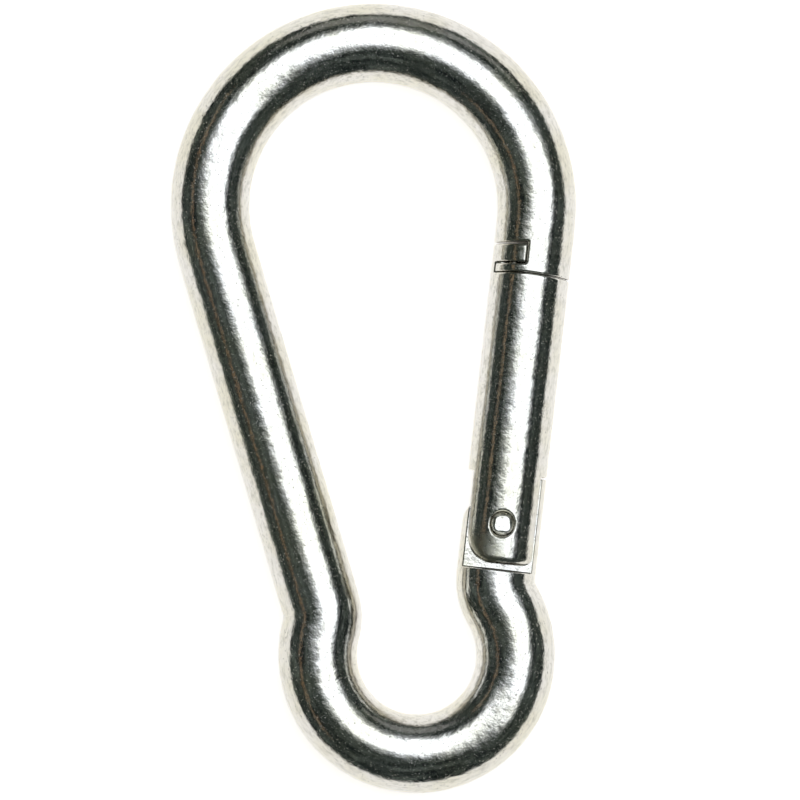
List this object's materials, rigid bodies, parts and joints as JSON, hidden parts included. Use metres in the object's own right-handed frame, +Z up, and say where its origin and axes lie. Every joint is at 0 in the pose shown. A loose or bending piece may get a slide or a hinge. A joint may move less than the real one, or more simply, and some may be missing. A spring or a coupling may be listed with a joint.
{
  "type": "spring snap hook",
  "caption": "Pear-shaped spring hook bent from polished round wire, with a small eye, a big bow and a sprung gate that opens inwards.",
  "frame": {"origin": "middle of the hook's length and width, on the surface that the hook lies flat on", "axes": "+Y along the hook from the small eye to the big bow, +X towards the gate side, +Z up, square to the plane of the hook"},
  "size_m": [0.041, 0.08, 0.008],
  "materials": {
    "body_steel": "polished stainless steel",
    "gate_steel": "polished stainless steel",
    "rivet_steel": "peened and polished stainless steel",
    "spring_steel": "drawn spring wire",
    "plunger_steel": "turned stainless steel"
  },
  "bodies": {
    "hook_body": {"hook_body": "body_steel"},
    "gate": {"gate": "gate_steel", "pivot_rivet": "rivet_steel", "gate_spring": "spring_steel"},
    "plunger": {"plunger": "plunger_steel"}
  },
  "joints": [
    {"name": "gate_hinge", "type": "hinge", "parent": "hook_body", "child": "gate", "pos_m": [0.00983, -0.0136, 0.004], "axis": [0, 0, 1], "range_deg": [0, 45], "stiffness_Nm_per_rad": 0.0365, "springref_deg": -166.16},
    {"name": "plunger_slide", "type": "slide", "parent": "gate", "child": "plunger", "axis": [0.2079, 0.9781, 0], "range_m": [0, 0.00125], "deforming": ["gate_spring"]}
  ],
  "couplings": [
    {"joint": "plunger_slide", "follows": "gate_hinge", "m_per_rad": 0.00155}
  ]
}
